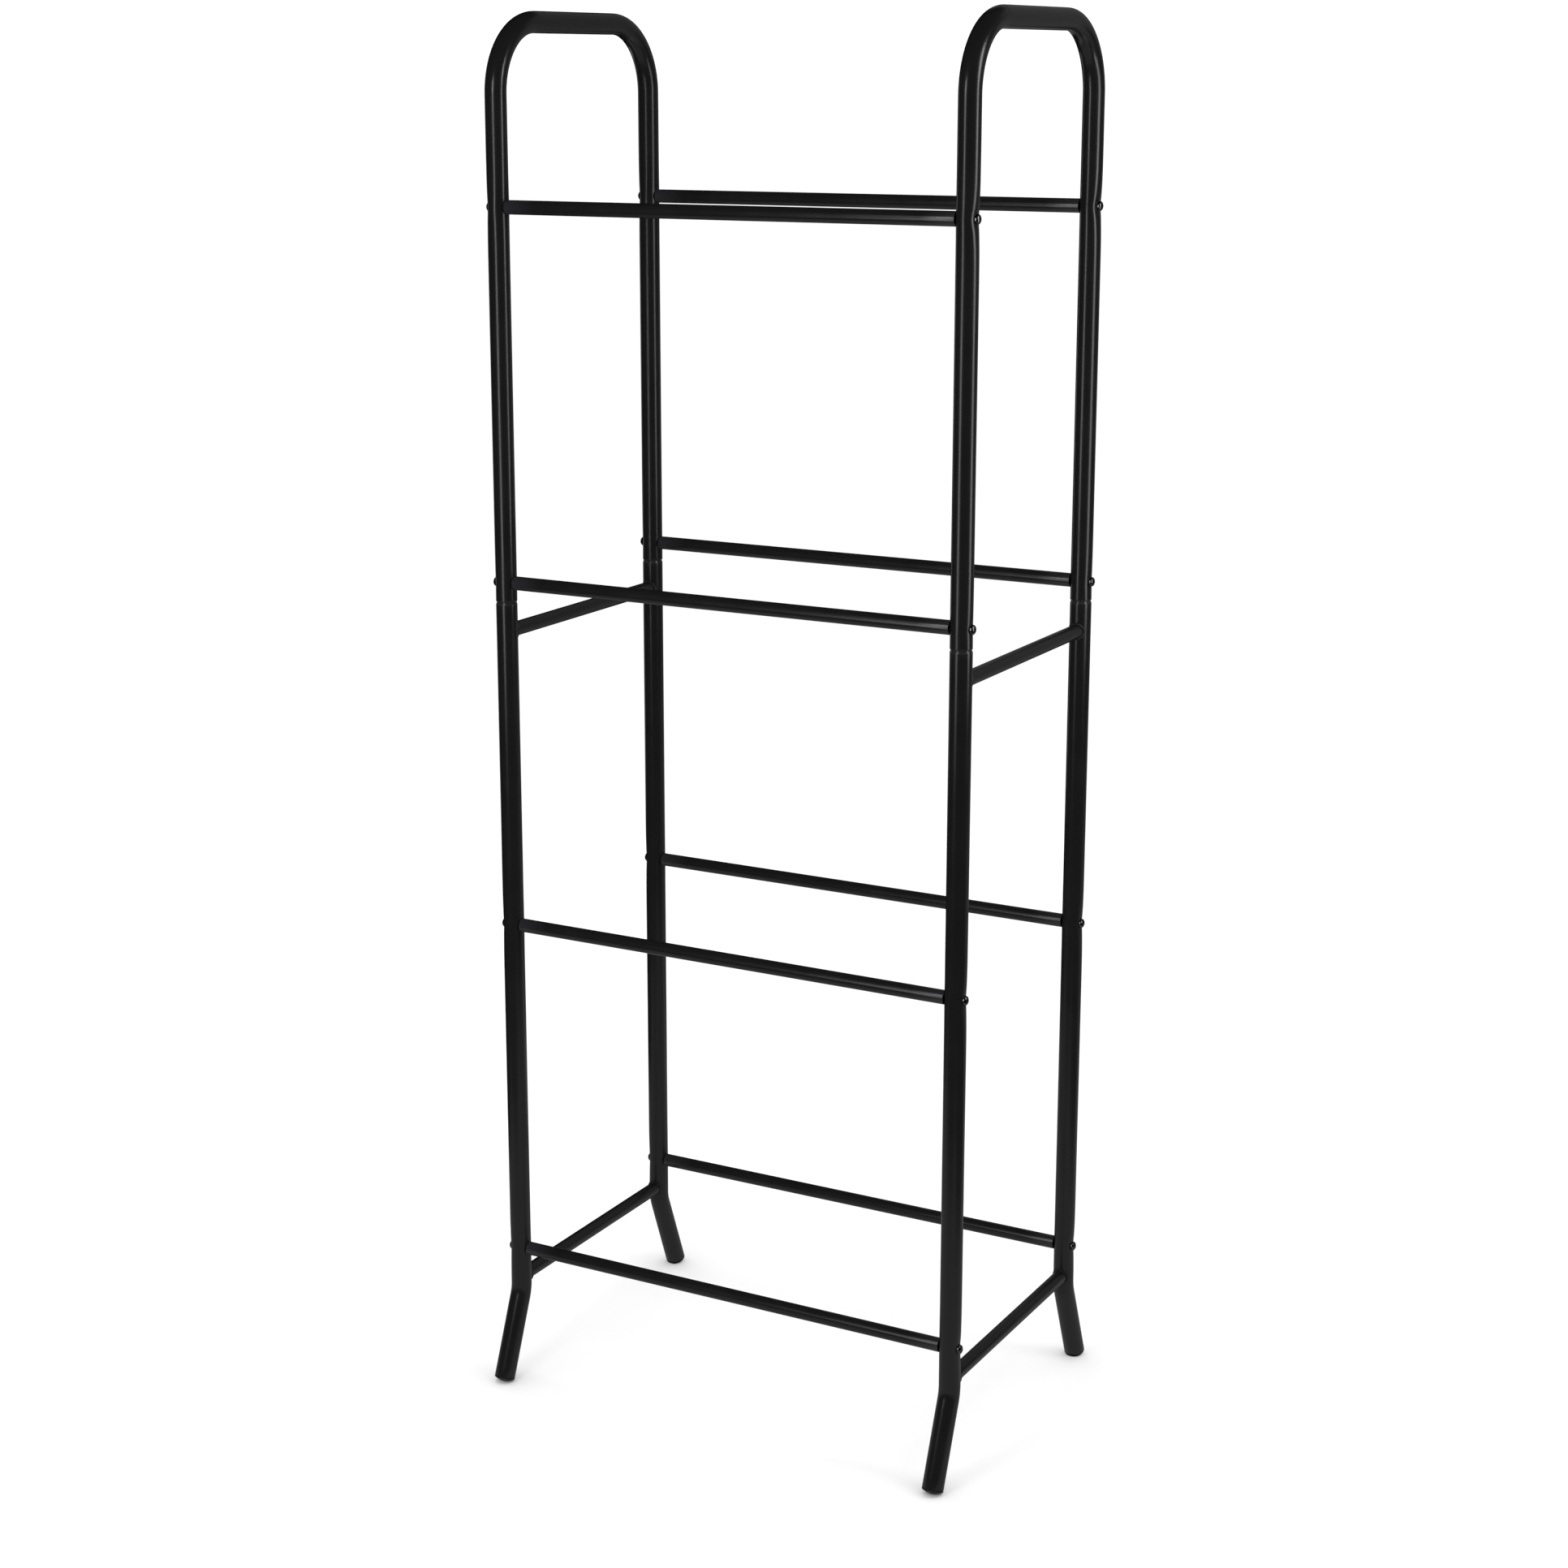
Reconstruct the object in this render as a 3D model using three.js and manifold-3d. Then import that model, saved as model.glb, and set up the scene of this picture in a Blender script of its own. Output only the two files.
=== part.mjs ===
// Free-standing storage rack frame of round steel tube, for the space over and around a toilet.
// Two side frames stand left and right. Each is a lower frame of two legs and two welded struts,
// with an arched upper hoop plugged on top. Eight rails at four levels join the two side frames,
// each held at both ends by a screw through the post into an insert in the rail's end.
// Millimetres, +X right, +Y rear, +Z up. The origin is on the floor, under the frame's centre.
import * as THREE from "three";
import { mergeVertices } from "three/addons/utils/BufferGeometryUtils.js";
import Module from "manifold-3d";

// Plan of the frame, measured between the axes of the posts
const POST_SPACING_X = 585;
const POST_SPACING_Y = 330;

// Heights: each level's rails lie one bay above the level below
const LOWEST_RAIL_HEIGHT = 163;
const LOWER_BAY = 416;
const MIDDLE_BAY = 416;
const UPPER_BAY = 431;
const HOOP_RISE = 204; // from the top rails' axis to the axis of the hoop's flat top
const JOINT_DROP = 22; // from the third rails' axis down to the hoop's lower end
const UPPER_STRUT_DROP = 36; // from that joint down to the upper strut's axis
const LOWER_STRUT_RISE = 16; // from the foot's bend up to the lower strut's axis

// Tubes
const POST_DIAMETER = 25;
const POST_WALL = 1.2;
const RAIL_DIAMETER = 16.2;
const RAIL_WALL = 1;
const STRUT_DIAMETER = 17;
const STRUT_WALL = 1;
const HOOP_BEND_RADIUS = 80;
const TUBE_SIDES = 16;
const HOOP_BEND_RINGS = 7;
const FOOT_BEND_RINGS = 3;

// The legs' swaged upper ends and splayed feet
const SPIGOT_LENGTH = 45;
const SHOULDER_HEIGHT = 5.5;
const FOOT_BEND_HEIGHT = 108; // where the axes of the leg and of its foot cross
const FOOT_BEND_RADIUS = 50;
const FOOT_ANGLE = THREE.MathUtils.degToRad(22);
const SHOULDER_RINGS = 3;
const WELD_WIDTH = 2.5; // of the bead round a strut's end, along the post's surface
const WELD_HEIGHT = 1.8; // of the bead, above the strut's surface

// Foot plugs: a stub inside the tube, a rim under its end and a domed sole with a small flat
const PLUG_STUB_LENGTH = 14;
const PLUG_RIM = 1.2;
const PLUG_DOME_HEIGHT = 4;
const PLUG_DOME_RINGS = 4;
const PLUG_FLAT = 0.8; // how deep the flat on the sole cuts into the dome

// Screws and the threaded inserts in the rails' ends
const SCREW_DIAMETER = 6;
const SCREW_HEAD_DIAMETER = 11;
const SCREW_HEAD_HEIGHT = 4;
const SCREW_HEAD_EDGE = 1.2; // height of the head's upright edge, under its dome
const SCREW_HEAD_RINGS = 3;
const SCREW_CHAMFER = 1;
const SCREW_SIDES = 10;
const INSERT_LENGTH = 16;
const INSERT_LIP = 1; // thickness of the lip that stops the insert at the tube's end

// Each level's screws, from the lowest, pull their heads this far into the post's thin wall. At
// the third level the leg's spigot stands inside the hoop and stiffens it.
const SCREW_SINKS = [2, 2, 0.6, 2.6];
const CRUSH_SEAT = 9; // half the height of the flat seat that the head makes
const CRUSH_REACH = 24; // from the screw, up and down the post, to where the wall is round again
const CRUSH_SPREAD = THREE.MathUtils.degToRad(45); // round the post, to where the push has faded
const CRUSH_SWELL = 0.25; // how far the wall's other sides move out, as a share of the push

const GAP = 0.3; // between two pieces that touch or fit into each other

const postRadius = POST_DIAMETER / 2;
const railRadius = RAIL_DIAMETER / 2;
const strutRadius = STRUT_DIAMETER / 2;
const screwRadius = SCREW_DIAMETER / 2;
const levels = [LOWEST_RAIL_HEIGHT];
for (const bay of [LOWER_BAY, MIDDLE_BAY, UPPER_BAY]) levels.push(levels.at(-1) + bay);
const jointHeight = levels[2] - JOINT_DROP;
const hoopTop = levels[3] + HOOP_RISE;

const wasm = await Module();
wasm.setup();

function solidFrom(geometry) {
  const bare = geometry.index ? geometry.toNonIndexed() : geometry.clone();
  bare.deleteAttribute("normal");
  bare.deleteAttribute("uv");
  const merged = mergeVertices(bare, 1e-4);
  return new wasm.Manifold(
    new wasm.Mesh({
      numProp: 3,
      vertProperties: merged.getAttribute("position").array,
      triVerts: new Uint32Array(merged.index.array),
    }),
  );
}

function geometryFrom(solid) {
  const { vertProperties, triVerts } = solid.getMesh();
  const geometry = new THREE.BufferGeometry();
  geometry.setAttribute("position", new THREE.BufferAttribute(vertProperties, 3));
  geometry.setIndex(new THREE.BufferAttribute(triVerts, 1));
  geometry.computeVertexNormals();
  return geometry;
}

// Turns a profile of [radius, height] points about +Z.
function turned(profile, sides) {
  const points = profile.map(([radius, height]) => new THREE.Vector2(radius, height));
  return new THREE.LatheGeometry(points, sides).rotateX(Math.PI / 2);
}

// A tube standing on z = 0, with a ring of vertices at each given height.
function straightTube(heights, radius, wall) {
  const outside = heights.map((height) => [radius, height]);
  const inside = heights.map((height) => [radius - wall, height]).reverse();
  return turned([...outside, ...inside, outside[0]], TUBE_SIDES);
}

function crossRod(radius, length, sides) {
  return new THREE.CylinderGeometry(radius, radius, length, sides).rotateZ(Math.PI / 2);
}

// Lays a straight tube along a path in the YZ plane, as a tube bender does. The path's steps are
// straights ({ length }) and arcs ({ radius, angle }); a positive angle bends the tube towards +Y.
function bent(geometry, steps) {
  const position = geometry.getAttribute("position");
  for (let i = 0; i < position.count; i += 1) {
    const offset = position.getY(i);
    let left = position.getZ(i);
    let y = 0;
    let z = 0;
    let heading = 0;
    for (const { length = 0, radius = 0, angle = 0 } of steps) {
      const turn = radius ? Math.sign(angle) * Math.min(left / radius, Math.abs(angle)) : 0;
      const straight = Math.min(left, length);
      const chord = 2 * radius * Math.sin(Math.abs(turn) / 2) + straight;
      y += chord * Math.sin(heading + turn / 2);
      z += chord * Math.cos(heading + turn / 2);
      heading += turn;
      left -= radius * Math.abs(turn) + straight;
    }
    position.setY(i, y + offset * Math.cos(heading));
    position.setZ(i, z - offset * Math.sin(heading));
  }
  return geometry;
}

// The heights at which a tube needs rings, for a path of straights and arcs.
function ringHeights(steps, ringsPerBend) {
  const heights = [0];
  for (const { length = 0, radius = 0, angle = 0 } of steps) {
    const start = heights.at(-1);
    const parts = radius ? ringsPerBend : 1;
    const size = radius ? radius * Math.abs(angle) : length;
    for (let part = 1; part <= parts; part += 1) heights.push(start + (size * part) / parts);
  }
  return heights;
}

// Presses a straight tube's wall in where screws pull on it, at [height, depth] spots on its side
// towards +X or -X, and swells its other sides.
function crushed(geometry, spots, outward) {
  const position = geometry.getAttribute("position");
  for (let i = 0; i < position.count; i += 1) {
    const x = position.getX(i);
    const y = position.getY(i);
    let push = 0;
    for (const [height, depth] of spots) {
      const far = Math.abs(position.getZ(i) - height);
      const share = (CRUSH_REACH - far) / (CRUSH_REACH - CRUSH_SEAT);
      push += depth * THREE.MathUtils.clamp(share, 0, 1);
    }
    const facing = Math.exp(-((Math.atan2(y, outward * x) / CRUSH_SPREAD) ** 2));
    position.setX(i, x - outward * push * facing);
    position.setY(i, y * (1 + (CRUSH_SWELL * push) / postRadius));
  }
  return geometry;
}

// The rings that a tube needs round its crushed spots, between two heights.
function crushRings(spots, lowest, highest) {
  const edges = [-CRUSH_REACH, -CRUSH_SEAT, CRUSH_SEAT, CRUSH_REACH];
  const rings = spots.flatMap(([height]) => edges.map((edge) => height + edge));
  return rings.filter((height) => height > lowest + GAP && height < highest - GAP);
}

// Bores a screw hole through both walls of a post, at each given height and place along Y.
function drilled(solid, heights, y) {
  let result = solid;
  for (const height of heights) {
    const drill = crossRod(screwRadius + GAP, 2 * POST_DIAMETER, SCREW_SIDES);
    result = result.subtract(solidFrom(drill.translate(0, y, height)));
  }
  return result;
}

// Upper hoop: one tube with two quarter bends, open at its lower ends. Its local origin is under
// the middle of its flat top, at floor level, and its screws are on its side towards outward.
function hoopGeometry(outward) {
  const legLength = hoopTop - HOOP_BEND_RADIUS - jointHeight;
  const steps = [
    { length: legLength },
    { radius: HOOP_BEND_RADIUS, angle: Math.PI / 2 },
    { length: POST_SPACING_Y - 2 * HOOP_BEND_RADIUS },
    { radius: HOOP_BEND_RADIUS, angle: Math.PI / 2 },
    { length: legLength },
  ];
  const bendHeights = ringHeights(steps, HOOP_BEND_RINGS);
  const length = bendHeights.at(-1);
  const fromFront = [2, 3].map((index) => [levels[index] - jointHeight, SCREW_SINKS[index]]);
  const fromRear = fromFront.map(([height, depth]) => [length - height, depth]);
  const spots = [...fromFront, ...fromRear];
  const heights = [...bendHeights, ...crushRings(spots, 0, length)].sort((a, b) => a - b);
  const tube = crushed(straightTube(heights, postRadius, POST_WALL), spots, outward);
  bent(tube, steps).translate(0, -POST_SPACING_Y / 2, jointHeight);
  let hoop = solidFrom(tube);
  for (const y of [-POST_SPACING_Y / 2, POST_SPACING_Y / 2]) {
    hoop = drilled(hoop, levels.slice(2), y);
  }
  return geometryFrom(hoop);
}

// The foot's end: the dome's ball rests on the floor less its flat, and the tube ends above it.
const domeRadius = (postRadius ** 2 + PLUG_DOME_HEIGHT ** 2) / (2 * PLUG_DOME_HEIGHT);
const domeCentreHeight = domeRadius - PLUG_FLAT;
const footReach = (FOOT_BEND_HEIGHT - domeCentreHeight) / Math.cos(FOOT_ANGLE);
const domeCentreOffset = -footReach * Math.sin(FOOT_ANGLE);
const rimBottom = domeRadius - PLUG_DOME_HEIGHT; // from the ball's centre, down the foot's axis
const tubeEnd = rimBottom - PLUG_RIM - GAP;
const bendTangent = FOOT_BEND_RADIUS * Math.tan(FOOT_ANGLE / 2);

// Leg: the foot runs down and out towards -Y, and the top is swaged to a spigot behind a rounded
// shoulder. Its local origin is on the floor under the post's axis, and its screws are on its side
// towards outward.
function legGeometry(outward) {
  const footLength = footReach + tubeEnd - bendTangent;
  const bodyTop = jointHeight - GAP - SHOULDER_HEIGHT;
  const steps = [
    { length: footLength },
    { radius: FOOT_BEND_RADIUS, angle: -FOOT_ANGLE },
    { length: bodyTop - FOOT_BEND_HEIGHT - bendTangent },
  ];
  const bendHeights = ringHeights(steps, FOOT_BEND_RINGS);
  const bodyEnd = bendHeights.at(-1);
  const spots = levels
    .slice(0, 3)
    .map((level, index) => [bodyEnd - (bodyTop - level), SCREW_SINKS[index]]);
  const bodyRings = crushRings(spots, 0, bodyEnd);
  const heights = [...bendHeights, ...bodyRings].sort((a, b) => a - b);
  const spigotRadius = postRadius - POST_WALL - GAP;
  const shoulder = [];
  for (let ring = 1; ring <= SHOULDER_RINGS; ring += 1) {
    const angle = (Math.PI / 2) * (ring / SHOULDER_RINGS);
    const drop = (postRadius - spigotRadius) * (1 - Math.cos(angle));
    shoulder.push([postRadius - drop, bodyEnd + SHOULDER_HEIGHT * Math.sin(angle)]);
  }
  const spigotEnd = bodyEnd + SHOULDER_HEIGHT + GAP + SPIGOT_LENGTH;
  const boreRadius = spigotRadius - POST_WALL;
  const spigotRings = crushRings(spots, bodyEnd + SHOULDER_HEIGHT, spigotEnd);
  const outside = heights.map((height) => [postRadius, height]);
  const inside = heights.map((height) => [postRadius - POST_WALL, height]).reverse();
  const profile = [
    ...outside,
    ...shoulder,
    ...spigotRings.map((height) => [spigotRadius, height]),
    [spigotRadius, spigotEnd],
    [boreRadius, spigotEnd],
    ...spigotRings.map((height) => [boreRadius, height]).reverse(),
    [boreRadius, bodyEnd + SHOULDER_HEIGHT],
    ...inside,
    outside[0],
  ];
  const spigotSteps = [...steps, { length: spigotEnd }];
  // The path starts straight up at the foot's end, so the bent leg is then turned upright.
  const straight = crushed(turned(profile, TUBE_SIDES), spots, outward);
  const leg = bent(straight, spigotSteps).rotateX(-FOOT_ANGLE);
  leg.translate(0, domeCentreOffset - tubeEnd * Math.sin(FOOT_ANGLE), 0);
  leg.translate(0, 0, domeCentreHeight - tubeEnd * Math.cos(FOOT_ANGLE));
  return geometryFrom(drilled(solidFrom(leg), levels.slice(0, 3), 0));
}

// Foot plug, in the leg's local frame.
function footPlugGeometry() {
  const stubRadius = postRadius - POST_WALL - GAP;
  const dome = [];
  const domeAngle = Math.asin(postRadius / domeRadius);
  for (let ring = 0; ring <= PLUG_DOME_RINGS; ring += 1) {
    const angle = (domeAngle * ring) / PLUG_DOME_RINGS;
    dome.push([domeRadius * Math.sin(angle), -domeRadius * Math.cos(angle)]);
  }
  const profile = [
    ...dome,
    [postRadius, -rimBottom + PLUG_RIM],
    [stubRadius, -rimBottom + PLUG_RIM],
    [stubRadius, -tubeEnd + PLUG_STUB_LENGTH],
    [0, -tubeEnd + PLUG_STUB_LENGTH],
  ];
  const plug = turned(profile, TUBE_SIDES).rotateX(-FOOT_ANGLE);
  plug.translate(0, domeCentreOffset, domeCentreHeight);
  const size = 4 * POST_DIAMETER;
  const floor = new THREE.BoxGeometry(size, size, size).translate(0, domeCentreOffset, -size / 2);
  return geometryFrom(solidFrom(plug).subtract(solidFrom(floor)));
}

// Strut: a tube across the side frame, its ends cut to the posts and ringed by a weld bead. Its
// local origin is at its middle.
function strutGeometry() {
  const lengthwise = (radius) =>
    solidFrom(new THREE.CylinderGeometry(radius, radius, POST_SPACING_Y, TUBE_SIDES));
  const postAt = (y, radius) =>
    solidFrom(
      new THREE.CylinderGeometry(radius, radius, 4 * STRUT_DIAMETER, TUBE_SIDES)
        .rotateX(Math.PI / 2)
        .translate(0, y, 0),
    );
  const collar = lengthwise(strutRadius + WELD_HEIGHT);
  let strut = lengthwise(strutRadius);
  for (const y of [-POST_SPACING_Y / 2, POST_SPACING_Y / 2]) {
    strut = strut.add(collar.intersect(postAt(y, postRadius + WELD_WIDTH)));
    strut = strut.subtract(postAt(y, postRadius + GAP));
  }
  return geometryFrom(strut.subtract(lengthwise(strutRadius - STRUT_WALL)));
}

// Rail: a plain tube cut square, lying along X about its middle.
const railLength = POST_SPACING_X - POST_DIAMETER - 2 * GAP;
function railGeometry() {
  const tube = straightTube([0, railLength], railRadius, RAIL_WALL);
  return tube.translate(0, 0, -railLength / 2).rotateY(Math.PI / 2);
}

// Insert: a bush with a threaded bore, pressed into the rail's end. Its local origin is at the
// rail's end, with the rail running along -X.
function insertGeometry() {
  const boreRadius = screwRadius + GAP;
  const bodyRadius = railRadius - RAIL_WALL - GAP;
  const profile = [
    [bodyRadius, -INSERT_LENGTH],
    [bodyRadius, -INSERT_LIP],
    [bodyRadius - GAP, 0],
    [boreRadius, 0],
    [boreRadius, -INSERT_LENGTH],
    [bodyRadius, -INSERT_LENGTH],
  ];
  return turned(profile, SCREW_SIDES).rotateY(Math.PI / 2);
}

// Screw: a pan head outside the post, and a shank through both of its walls into the insert. Its
// local origin is under the head, with the head towards +X.
function screwGeometry() {
  const headRadius = SCREW_HEAD_DIAMETER / 2;
  const shankLength = GAP + POST_DIAMETER + GAP + INSERT_LENGTH;
  const head = [];
  for (let ring = 0; ring < SCREW_HEAD_RINGS; ring += 1) {
    const angle = (Math.PI / 2) * (ring / SCREW_HEAD_RINGS);
    const rise = (SCREW_HEAD_HEIGHT - SCREW_HEAD_EDGE) * Math.sin(angle);
    head.push([headRadius * Math.cos(angle), SCREW_HEAD_EDGE + rise]);
  }
  const profile = [
    [0, -shankLength],
    [screwRadius - SCREW_CHAMFER, -shankLength],
    [screwRadius, -shankLength + SCREW_CHAMFER],
    [screwRadius, 0],
    [headRadius, 0],
    ...head,
    [0, SCREW_HEAD_HEIGHT],
  ];
  return turned(profile, SCREW_SIDES).rotateY(Math.PI / 2);
}

const tubeSteel = { color: "#1c1c1d", roughness: 0.42, metalness: 0.1 };
const plugPlastic = { color: "#121213", roughness: 0.6, metalness: 0 };
const screwSteel = { color: "#18181a", roughness: 0.35, metalness: 0.4 };
const insertSteel = { color: "#161618", roughness: 0.5, metalness: 0.4 };

function piece(name, geometry, look) {
  const mesh = new THREE.Mesh(geometry, new THREE.MeshStandardMaterial(look));
  mesh.name = name;
  return mesh;
}

const rack = new THREE.Group();
const footPlug = footPlugGeometry();
const strut = strutGeometry();
const rail = railGeometry();
const insert = insertGeometry();
const screw = screwGeometry();

const sides = [
  { side: "left", x: -POST_SPACING_X / 2, outward: -1 },
  { side: "right", x: POST_SPACING_X / 2, outward: 1 },
];
const faces = [
  { face: "front", y: -POST_SPACING_Y / 2, turn: 0 },
  { face: "rear", y: POST_SPACING_Y / 2, turn: Math.PI },
];

for (const { side, x, outward } of sides) {
  const frame = new THREE.Group();
  frame.position.x = x;
  frame.add(piece(`${side}_upper_hoop`, hoopGeometry(outward), tubeSteel));

  const upperStrut = piece(`${side}_upper_strut`, strut, tubeSteel);
  upperStrut.position.z = jointHeight - UPPER_STRUT_DROP;
  const lowerStrut = piece(`${side}_lower_strut`, strut, tubeSteel);
  lowerStrut.position.z = FOOT_BEND_HEIGHT + LOWER_STRUT_RISE;
  frame.add(upperStrut, lowerStrut);

  for (const { face, y, turn } of faces) {
    const corner = new THREE.Group();
    corner.position.y = y;
    corner.rotation.z = turn;
    const leg = legGeometry(outward * Math.cos(turn));
    corner.add(piece(`${side}_${face}_leg`, leg, tubeSteel));
    corner.add(piece(`${side}_${face}_foot_plug`, footPlug, plugPlastic));
    frame.add(corner);
  }
  rack.add(frame);
}

levels.forEach((height, index) => {
  const level = index + 1;
  for (const { face, y } of faces) {
    const span = new THREE.Group();
    span.position.set(0, y, height);
    span.add(piece(`${face}_rail_${level}`, rail, tubeSteel));
    for (const { side, outward } of sides) {
      const end = new THREE.Group();
      end.rotation.z = outward > 0 ? 0 : Math.PI;
      const bush = piece(`${side}_${face}_insert_${level}`, insert, insertSteel);
      bush.position.x = railLength / 2;
      const bolt = piece(`${side}_${face}_screw_${level}`, screw, screwSteel);
      bolt.position.x = POST_SPACING_X / 2 + postRadius + GAP - SCREW_SINKS[index];
      end.add(bush, bolt);
      span.add(end);
    }
    rack.add(span);
  }
});

export default rack;
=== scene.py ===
import math

import bmesh
import bpy
import numpy as np
from mathutils import Matrix, Vector


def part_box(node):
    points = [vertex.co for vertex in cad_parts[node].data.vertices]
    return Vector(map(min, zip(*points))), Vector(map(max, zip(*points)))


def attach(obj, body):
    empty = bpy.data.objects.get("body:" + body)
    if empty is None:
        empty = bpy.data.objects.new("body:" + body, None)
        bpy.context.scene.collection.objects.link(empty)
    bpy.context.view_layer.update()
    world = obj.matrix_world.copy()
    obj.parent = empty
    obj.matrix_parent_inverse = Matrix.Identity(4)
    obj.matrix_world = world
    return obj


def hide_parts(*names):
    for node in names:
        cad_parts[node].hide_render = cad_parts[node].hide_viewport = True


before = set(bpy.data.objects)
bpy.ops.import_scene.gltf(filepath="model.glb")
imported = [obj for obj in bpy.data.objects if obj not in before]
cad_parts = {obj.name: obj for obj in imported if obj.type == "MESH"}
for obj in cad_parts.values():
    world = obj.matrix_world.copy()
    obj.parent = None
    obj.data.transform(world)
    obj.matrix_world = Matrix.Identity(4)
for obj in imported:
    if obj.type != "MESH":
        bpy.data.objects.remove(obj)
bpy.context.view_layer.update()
mm = 0.001

# ---------------------------------------------------------------------------------------------
# Camera: a long lens at the rack's front right, a little below the hoops' tops, looking slightly
# down.
def put(name, data):
    """Puts an object made of this data into the scene."""
    made = bpy.data.objects.new(name, data)
    bpy.context.scene.collection.objects.link(made)
    return made


camera = put("camera", bpy.data.cameras.new("camera"))
bpy.context.scene.camera = camera
camera_turn = Matrix.Rotation(math.radians(29.2), 3, "Z")
camera_dip = Matrix.Rotation(math.radians(90 - 13.33), 3, "X")
camera_roll = Matrix.Rotation(math.radians(-0.1), 3, "Z")
camera.location = (1.534, -2.848, 1.575)
camera.rotation_euler = (camera_turn @ camera_dip @ camera_roll).to_euler()
camera.data.lens = 64.5
camera.data.shift_x = 0.021
camera.data.shift_y = -0.03

# ---------------------------------------------------------------------------------------------
# Studio: a white paper floor under white light from all round. Two upright strips draw the long
# highlights on the posts, a dim wall and a glow on the floor behind give the tubes that run front
# to back their flat grey faces, and a glow under the rack lifts the feet. One side light at the
# rear is there for the views from behind.
bpy.context.scene.view_settings.view_transform = "Standard"


def linear(code):
    """An sRGB hex colour as linear red, green, blue and full opacity."""
    parts = [int(code[i : i + 2], 16) / 255 for i in (1, 3, 5)]
    return (*[c / 12.92 if c <= 0.04045 else ((c + 0.055) / 1.055) ** 2.4 for c in parts], 1.0)


def add(tree, kind, inputs=(), **settings):
    """Adds a node, sets its properties, and gives each named or numbered input a value or a link."""
    made = tree.nodes.new(kind)
    for name, value in settings.items():
        setattr(made, name, value)
    for key, value in dict(inputs).items():
        if isinstance(value, bpy.types.NodeSocket):
            tree.links.new(value, made.inputs[key])
        else:
            made.inputs[key].default_value = value
    return made


world = bpy.data.worlds.new("white_room")
world.use_nodes = True
world.node_tree.nodes["Background"].inputs["Color"].default_value = (1, 1, 1, 1)
world.node_tree.nodes["Background"].inputs["Strength"].default_value = 1.12
world.cycles_visibility.glossy = False
bpy.context.scene.world = world

paper = bpy.data.materials.new("white_paper")
paper.use_nodes = True
paper.node_tree.nodes["Principled BSDF"].inputs["Base Color"].default_value = linear("#f4f4f4")
paper.node_tree.nodes["Principled BSDF"].inputs["Roughness"].default_value = 0.9
paper.node_tree.nodes["Principled BSDF"].inputs["Specular IOR Level"].default_value = 0.0

floor_mesh = bpy.data.meshes.new("floor")
floor_form = bmesh.new()
bmesh.ops.create_circle(floor_form, cap_ends=True, segments=96, radius=40)
floor_form.to_mesh(floor_mesh)
floor_form.free()
floor_mesh.materials.append(paper)
floor = put("floor", floor_mesh)
floor.visible_glossy = False


def softbox(name, place, target, width, height, glow):
    """A rectangular light at place, facing target; glow is its brightness against the white floor."""
    lamp = bpy.data.lights.new(name, "AREA")
    lamp.shape = "RECTANGLE"
    lamp.size = width
    lamp.size_y = height
    lamp.energy = glow * math.pi * width * height
    box = put(name, lamp)
    box.location = place
    box.rotation_euler = (Vector(target) - Vector(place)).to_track_quat("-Z", "Y").to_euler()
    box.visible_camera = False


# Each strip is three boxes, brighter towards the top. The left strip's upper boxes are narrower,
# so that the rails don't catch them.
left_strip_low, left_strip_rise, left_strip_edge = 0.57, 1.53, -0.1
right_strip_low, right_strip_rise, right_strip_width = 0.77, 1.33, 0.28
for part, start, end, share, far_edge in (
    ("low", 0, 0.45, 1, -0.48),
    ("middle", 0.45, 0.7, 1.3, -0.34),
    ("top", 0.7, 1, 2.2, -0.34),
):
    middle = (start + end) / 2
    left_x = (far_edge + left_strip_edge) / 2
    left_z = left_strip_low + left_strip_rise * middle
    right_z = right_strip_low + right_strip_rise * middle
    width = left_strip_edge - far_edge
    height = left_strip_rise * (end - start)
    softbox("left_" + part, (left_x, -1.6, left_z), (0, 0, left_z), width, height, 3.3 * share)
    width = right_strip_width
    height = right_strip_rise * (end - start)
    softbox("right_" + part, (1.15, 0.05, right_z), (0, 0.05, right_z), width, height, 3.4 * share)
softbox("rear_left_strip", (-1.85, 0.75, 1.0), (0, 0, 1.0), 0.4, 1.6, 0.8)
softbox("rear_glow", (1.0, 1.6, 0.002), (1.0, 1.6, 1), 3.2, 1.8, 0.17)
softbox("rear_wall", (0.3, 2.5, 1.8), (0.3, 0, 1.8), 3.2, 3.6, 0.15)
softbox("floor_glow", (0, 0, 0.002), (0, 0, 1), 2.0, 2.0, 0.27)

# ---------------------------------------------------------------------------------------------
# Legs: four posts of 25 mm drawn steel tube. The top is swaged down to a spigot that plugs into
# the hoop, the foot is bent outwards, and the screws crush the wall where they pull on it.
# The whole frame is degreased, sprayed with black epoxy-polyester powder and baked: a smooth
# semi-gloss skin with a slight orange peel, thinner and paler along sharp edges. The legs'
# shoulders are painted paler too: a painted highlight on the joint line.
post_radius = 12.5 * mm
post_wall = 1.2 * mm
post_sides = 64
fit_gap = 0.3 * mm  # between two pieces that fit into each other
spigot_length = 45 * mm
shoulder_height = 3.2 * mm
shoulder_drop = 1.3 * mm
foot_bend_height = 108 * mm
foot_bend_radius = 50 * mm
foot_angle = math.radians(22)
screw_head_height = 4 * mm
screw_hole_radius = 3.3 * mm
rim_round = 0.5 * mm  # on the edges of every cut tube

hoop_low, hoop_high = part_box("right_upper_hoop")
post_x = (hoop_low.x + hoop_high.x) / 2
post_y = sum(corner.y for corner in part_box("rear_rail_1")) / 2
joint_height = hoop_low.z
levels = [sum(corner.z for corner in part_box(f"front_rail_{level}")) / 2 for level in (1, 2, 3, 4)]
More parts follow.
